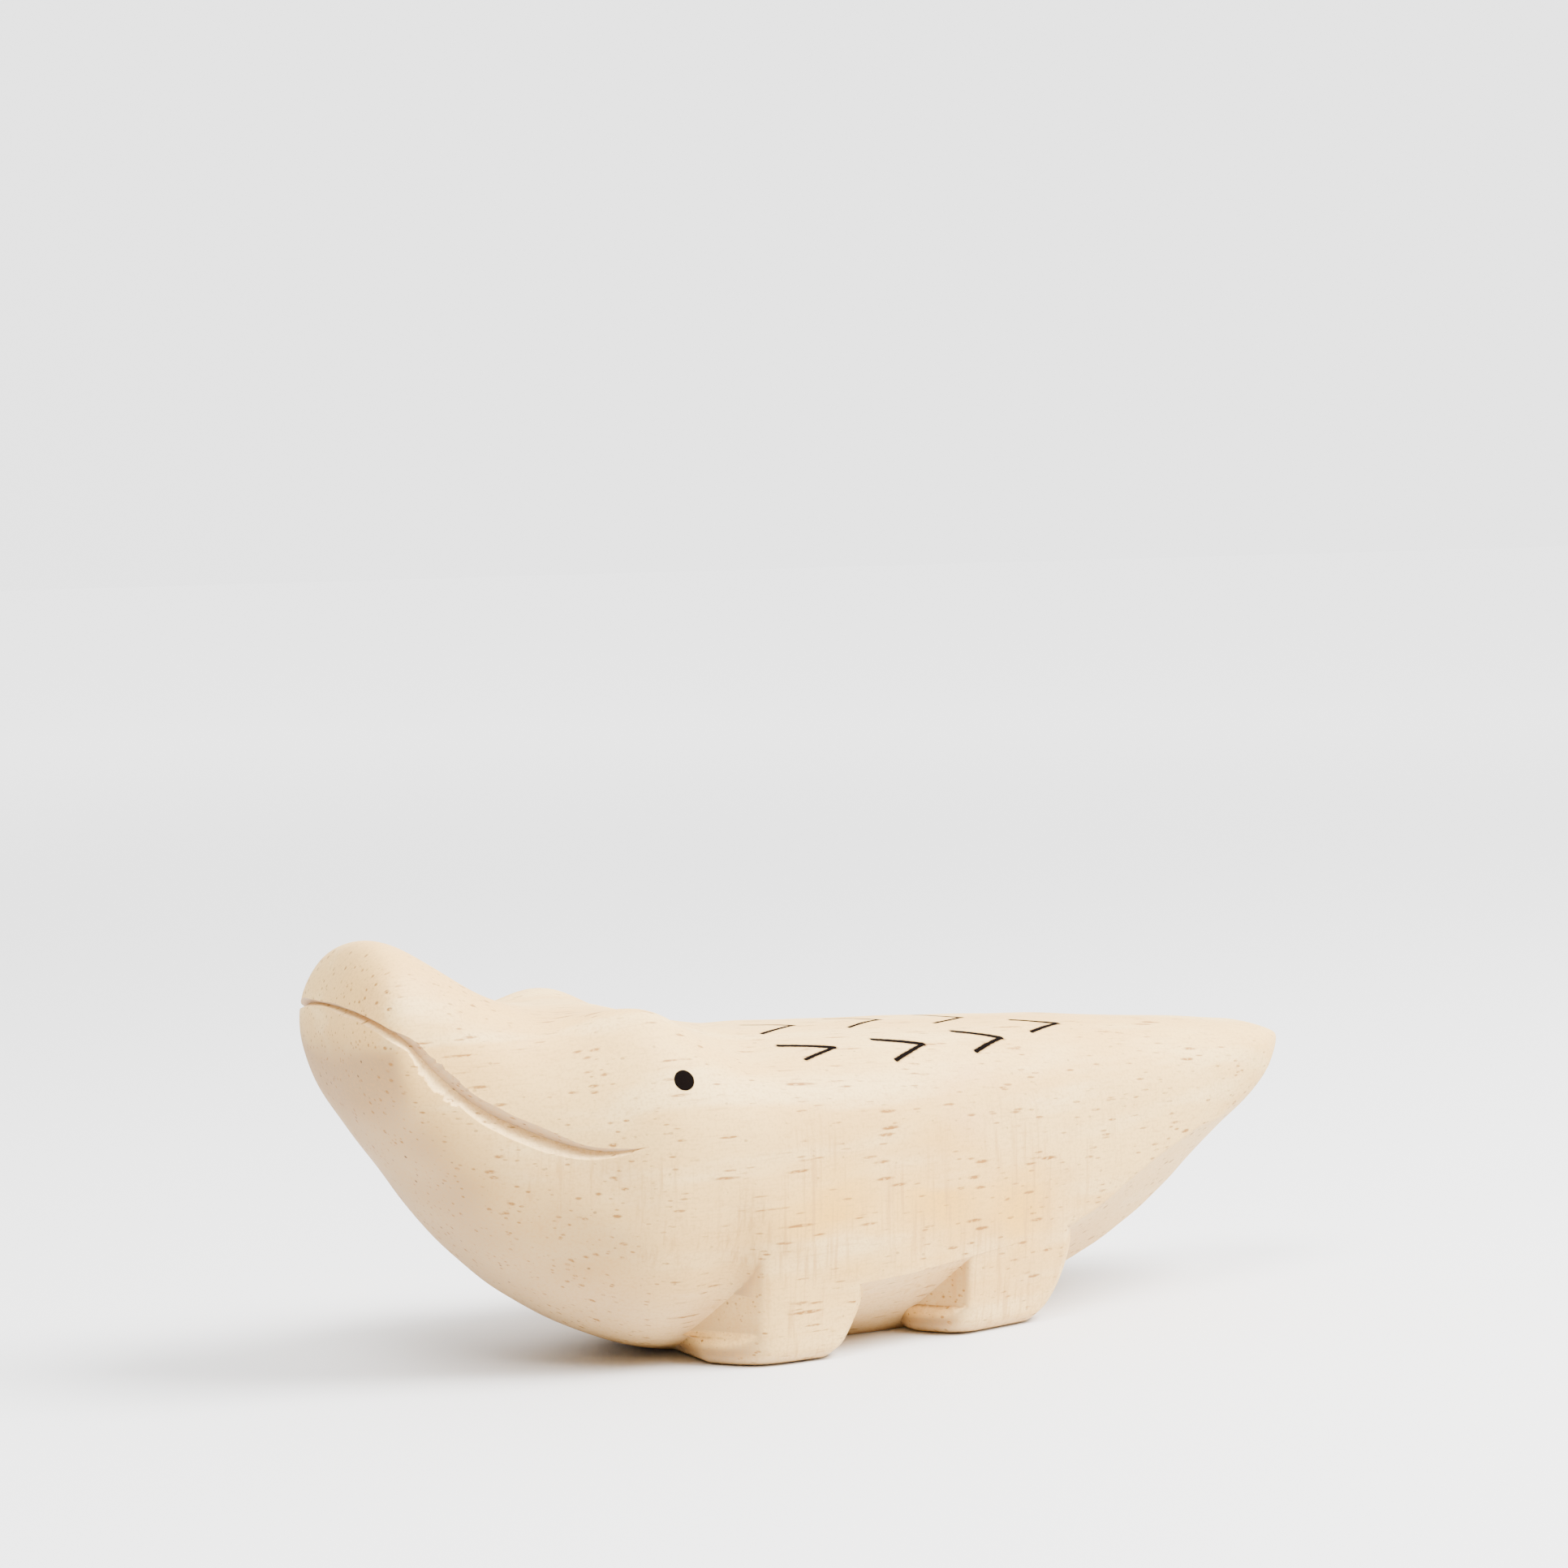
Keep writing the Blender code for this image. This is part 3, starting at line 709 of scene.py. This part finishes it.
def vessels(place, kind):
    # Short vessel lines along the fibres, seen as dots on end grain; share of each spot and its drawn value
    wobble = place.noise(wood["wobbleScale"], 1.0, output=1).scaled(wood["wobble"])
    seed = kind["seed"]
    cells = place.moved(wobble).scaled(tuple(1 / size for size in kind["cell"]))
    cells = cells.moved((seed, seed * 0.7, seed * 1.3))
    settings = {"feature": "F1", "voronoi_dimensions": "3D"}
    distance = cells.node("TexVoronoi", settings, {"Vector": cells, "Scale": 1.0})
    drawn = cells.node("TexVoronoi", settings, {"Vector": cells, "Scale": 1.0}, output="Color").part(0)
    size = kind["thick"] * (wood["thinnest"] + drawn)
    return (1 - distance / size).step(0.0, wood["vesselEdge"]), drawn


def vesselCover(place, kind, broken):
    # Vessel lines, how much they colour each place
    spot, drawn = vessels(place, kind)
    fixed, varied = kind["strength"]
    return spot, spot * broken * (fixed + varied * drawn)


def segment(x, y, start, end):
    # Distance in plan from a straight line between two points
    ax, ay = start
    dx, dy = end[0] - ax, end[1] - ay
    travel = ((x - ax) * (dx / (dx * dx + dy * dy)) + (y - ay) * (dy / (dx * dx + dy * dy))).clamped()
    return ((x - ax - travel * dx) ** 2.0 + (y - ay - travel * dy) ** 2.0) ** 0.5


def marksDistance(x, y, marks):
    # Distance from the nearest arm of the V marks
    nearest = None
    for apex, inner, outer in marks:
        for end, wider in ((inner, burnt["innerWidth"]), (outer, 1.0)):
            start, stop = [tuple(0.001 * value for value in point) for point in (apex, end)]
            found = segment(x, y, start, stop) / wider
            nearest = found if nearest is None else nearest.math("MINIMUM", found)
    return nearest


def spots(mirrored, places):
    # Soft round patches, strongest at their centres
    total = None
    for centre, reach in places:
        found = mirrored.distanceTo(centre).step(reach, 0.0)
        total = found if total is None else total.math("MAXIMUM", found)
    return total


def burntMasks(place, mirrored):
    # Burnt lines, their scorched surroundings and the eyes
    x, y, z = place.part(0), place.part(1), place.part(2)
    marks = marksDistance(x, abs(y), burnt["sideMarks"])
    marks = marks.math("MINIMUM", marksDistance(x, y, burnt["middleMarks"]))
    wander = place.noise(burnt["edgeScale"], 2.0) * burnt["edgeWander"] - burnt["edgeWander"] / 2
    half = burnt["lineWidth"] / 2
    above = z.step(*burnt["lowest"])
    line = (marks + wander).step(half + burnt["edgeOut"], half - burnt["edgeIn"]) * above
    scorch = (marks + wander).step(half + burnt["scorchReach"], half) * above
    eye = mirrored.distanceTo(burnt["eye"]) + wander * burnt["eyeWander"]
    eyeDot = eye.step(burnt["eyeRadius"] + burnt["eyeEdge"], burnt["eyeRadius"] - burnt["eyeEdge"])
    return line, scorch, eyeDot


def woodMaterial():
    material = bpy.data.materials.new("pale_wood")
    material.use_nodes = True
    tree = material.node_tree
    tree.nodes.clear()
    start = Value(tree)
    place = start.node("TexCoord", {}, {}, output="Object")
    x, y, z = place.part(0), place.part(1), place.part(2)
    mirrored = place.node("CombineXYZ", {}, {0: x, 1: abs(y), 2: z})
    facing = start.node("TexCoord", {}, {}, output="Normal")
    ahead, up = facing.part(0), facing.part(2)
    # Slow tones and bands; end grain on the snout's front, coloured only where it also faces down, so partly
    # painted shade; and painted shade on every surface facing down, the pared underside among them
    colour = cover(grain(place, wood["tones"]), wood["tones"]).mixed(wood["pale"], wood["warm"])
    colour = cover(grain(place, wood["bands"]), wood["bands"]).mixed(colour, wood["light"])
    endGrainAndShade = ahead.step(*wood["endGrainAhead"]) * up.step(*wood["endGrainShadeUp"])
    colour = (endGrainAndShade * wood["endGrainShadeStrength"]).mixed(colour, wood["endGrainAndShade"])
    colour = (up.step(*wood["paredShadeUp"]) * wood["paredShadeStrength"]).mixed(colour, wood["pared"])
    # The walls of the mouth's cut, lighter where they face up and darker where they face down as painted
    # light and shade, and painted shade in the crease on top of the toes
    depth = start.node("Attribute", {"attribute_name": "cut_depth"}, {}, output="Fac")
    litAndShadedWall = up.step(*wood["wallUp"]).mixed(wood["freshLitWall"], wood["inside"])
    colour = (depth.step(*wood["wallDepth"]) * wood["wallStrength"]).mixed(colour, litAndShadedWall)
    creaseShade = z.step(*wood["creaseFoot"]) * z.step(*wood["creaseTop"]) * up.step(*wood["creaseUp"])
    colour = (creaseShade * cover(grain(place, wood["creases"]), wood["creases"])).mixed(colour, wood["creaseShade"])
    # Tinted places
    cloud = cover(grain(place, wood["clouds"]), wood["clouds"])
    for tint in ("yellow", "pink"):
        tinted = spots(mirrored, wood[tint + "Places"]) * cloud * wood[tint + "Strength"]
        colour = tinted.mixed(colour, wood[tint])
    # Fibres, fuzz and upright striations
    fibres = grain(place, wood["fibres"])
    colour = cover(fibres, wood["fibres"]).mixed(colour, wood["fibre"])
    colour = cover(grain(place, wood["fuzz"]), wood["fuzz"]).mixed(colour, wood["fibre"])
    rays = grain(place, wood["rays"])
    rayArea = abs(y).step(*wood["rayOut"]) * z.step(*wood["rayHeight"])
    rayArea = rayArea * cover(grain(place, wood["rayPatches"]), wood["rayPatches"])
    colour = (cover(rays, wood["rays"]) * rayArea).mixed(colour, wood["fibre"])
    # Vessels and pores
    broken = cover(grain(place, wood["gaps"]), wood["gaps"]) + (1 - wood["gaps"]["strength"])
    streaks, streakCover = vesselCover(place, wood["longVessels"], broken)
    colour = streakCover.mixed(colour, wood["vessel"])
    colour = vesselCover(place, wood["shortVessels"], broken)[1].mixed(colour, wood["vessel"])
    dots, dotDraw = vessels(place, wood["pores"])
    everywhere, onEndGrain = wood["poreStrength"]
    dotCover = dots * dotDraw.step(*wood["poresDrawn"]) * (everywhere + onEndGrain * endGrainAndShade)
    colour = dotCover.mixed(colour, wood["pore"])
    # Burnt marks and eyes, then the fine relief
    line, scorch, eyeDot = burntMasks(place, mirrored)
    colour = (scorch * burnt["scorchStrength"]).mixed(colour, burnt["scorch"])
    roughness = wood["roughness"] + place.noise(wood["roughScale"], 2.0) * wood["roughSpread"]
    relief = fibres * wood["fibreRise"] + rays * rayArea * wood["rayRise"] - streaks * wood["vesselDent"]
    relief = relief - dots * wood["poreDent"] - line * wood["burntDent"]
    bump = start.node("Bump", {}, {"Strength": wood["reliefStrength"], "Distance": 1.0, "Height": relief})
    bare = start.node("BsdfPrincipled", {}, {"Base Color": colour, "Roughness": roughness, "Normal": bump,
                                             "IOR": 1.42, "Specular IOR Level": 0.35})
    char = start.node("BsdfPrincipled", {}, {"Base Color": burnt["colour"], "Roughness": 0.95, "Normal": bump,
                                             "Specular IOR Level": 0.02})
    both = start.node("MixShader", {}, {0: line.math("MAXIMUM", eyeDot), 1: bare, 2: char})
    start.node("OutputMaterial", {}, {"Surface": both})
    return material


def cutMouth(block):
    # Cuts the mouth and keeps each point's depth under the skin for the material
    corners = [v.co.copy() for v in block.data.vertices]
    uncut = BVHTree.FromPolygons(corners, [tuple(face.vertices) for face in block.data.polygons])
    joined(block, mouthCutter(), "DIFFERENCE")
    depth = [uncut.find_nearest(v.co)[3] for v in block.data.vertices]
    block.data.attributes.new("cut_depth", "FLOAT", "POINT").data.foreach_set("value", depth)


def buildCrocodile():
    block = carvedBlock()
    print("block carved:", len(block.data.vertices), "points")
    cutMouth(block)
    block.data.shade_smooth()
    block.data.set_sharp_from_angle(angle=crocodile["sharpAngle"])
    block.data.materials.clear()
    block.data.materials.append(woodMaterial())
    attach(block, "root")
    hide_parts("crocodile")
    print("mouth cut:", len(block.data.polygons), "faces")


studio = {
    "cameraPlace": (-0.30736, -0.56255, 0.12772),
    "cameraTurn": (86.072, 1.111, -28.193),   # in degrees
    "lens": 96.19,            # both in millimetres
    "sensor": 36.0,
    "nearest": 0.01,
    "floorSize": 12.0,
    "floorColour": (0.72, 0.72, 0.72, 1.0),
    "floorRoughness": 0.8,
    "floorGlow": 1.6,         # the far floor is lit as bright as the sky behind it
    "glowReach": (0.25, 1.8),
    # the room's brightness towards the right and behind the figure, and towards the left
    "skyBright": 3.0,
    "skyDim": 0.12,
    "skyTurn": (0.75, 0.45, 0.48),    # direction of the bright side
    "skySpread": (-0.40, 0.75),       # where the brightness begins and is full
    "keyPlace": (0.50, -0.45, 0.90),
    "keySize": 0.55,
    "keyPower": 50.0,
    "fillPlace": (-0.45, -0.40, 1.05),
    "fillSize": 0.5,
    "fillPower": 20.0,
    "aim": (0.0, 0.0, 0.02),
}


def lookAt(thing, target):
    thing.rotation_euler = (Vector(target) - thing.location).to_track_quat("-Z", "Y").to_euler()


def areaLight(name, place, size, power):
    light = bpy.data.lights.new(name, "AREA")
    light.size = size
    light.energy = power
    lamp = bpy.data.objects.new(name, light)
    lamp.location = place
    bpy.context.scene.collection.objects.link(lamp)
    lookAt(lamp, studio["aim"])


def buildStudio():
    half = studio["floorSize"] / 2
    floor = meshObject("floor", [(-half, -half, 0), (half, -half, 0), (half, half, 0), (-half, half, 0)],
                       [(0, 1, 2, 3)])
    plain = bpy.data.materials.new("plain_floor")
    plain.use_nodes = True
    shader = plain.node_tree.nodes["Principled BSDF"]
    shader.inputs["Base Color"].default_value = studio["floorColour"]
    shader.inputs["Roughness"].default_value = studio["floorRoughness"]
    shader.inputs["Emission Strength"].default_value = studio["floorGlow"]
    place = Value(plain.node_tree).node("TexCoord", {}, {}, output="Object")
    far = place.distanceTo((0.0, 0.0, 0.0)).step(*studio["glowReach"])
    glow = far.mixed((0.0, 0.0, 0.0, 1.0), (1.0, 1.0, 1.0, 1.0))
    plain.node_tree.links.new(glow.socket, shader.inputs["Emission Color"])
    floor.data.materials.append(plain)
    world = bpy.data.worlds.new("white_room")
    world.use_nodes = True
    back = world.node_tree.nodes["Background"]
    back.inputs["Color"].default_value = (1.0, 1.0, 1.0, 1.0)
    sky = Value(world.node_tree).node("TexCoord", {}, {}, output="Generated")
    sides = {0: sky, 1: studio["skyTurn"]}
    towards = sky.node("VectorMath", {"operation": "DOT_PRODUCT"}, sides, output="Value")
    brighter = studio["skyBright"] - studio["skyDim"]
    strength = towards.step(*studio["skySpread"]) * brighter + studio["skyDim"]
    world.node_tree.links.new(strength.socket, back.inputs["Strength"])
    bpy.context.scene.world = world
    areaLight("key", studio["keyPlace"], studio["keySize"], studio["keyPower"])
    areaLight("fill", studio["fillPlace"], studio["fillSize"], studio["fillPower"])
    camera = bpy.data.cameras.new("camera")
    camera.lens = studio["lens"]
    camera.sensor_width = studio["sensor"]
    camera.clip_start = studio["nearest"]
    eye = bpy.data.objects.new("camera", camera)
    eye.location = studio["cameraPlace"]
    eye.rotation_euler = [math.radians(angle) for angle in studio["cameraTurn"]]
    bpy.context.scene.collection.objects.link(eye)
    bpy.context.scene.camera = eye
    print("studio set")


buildCrocodile()
buildStudio()
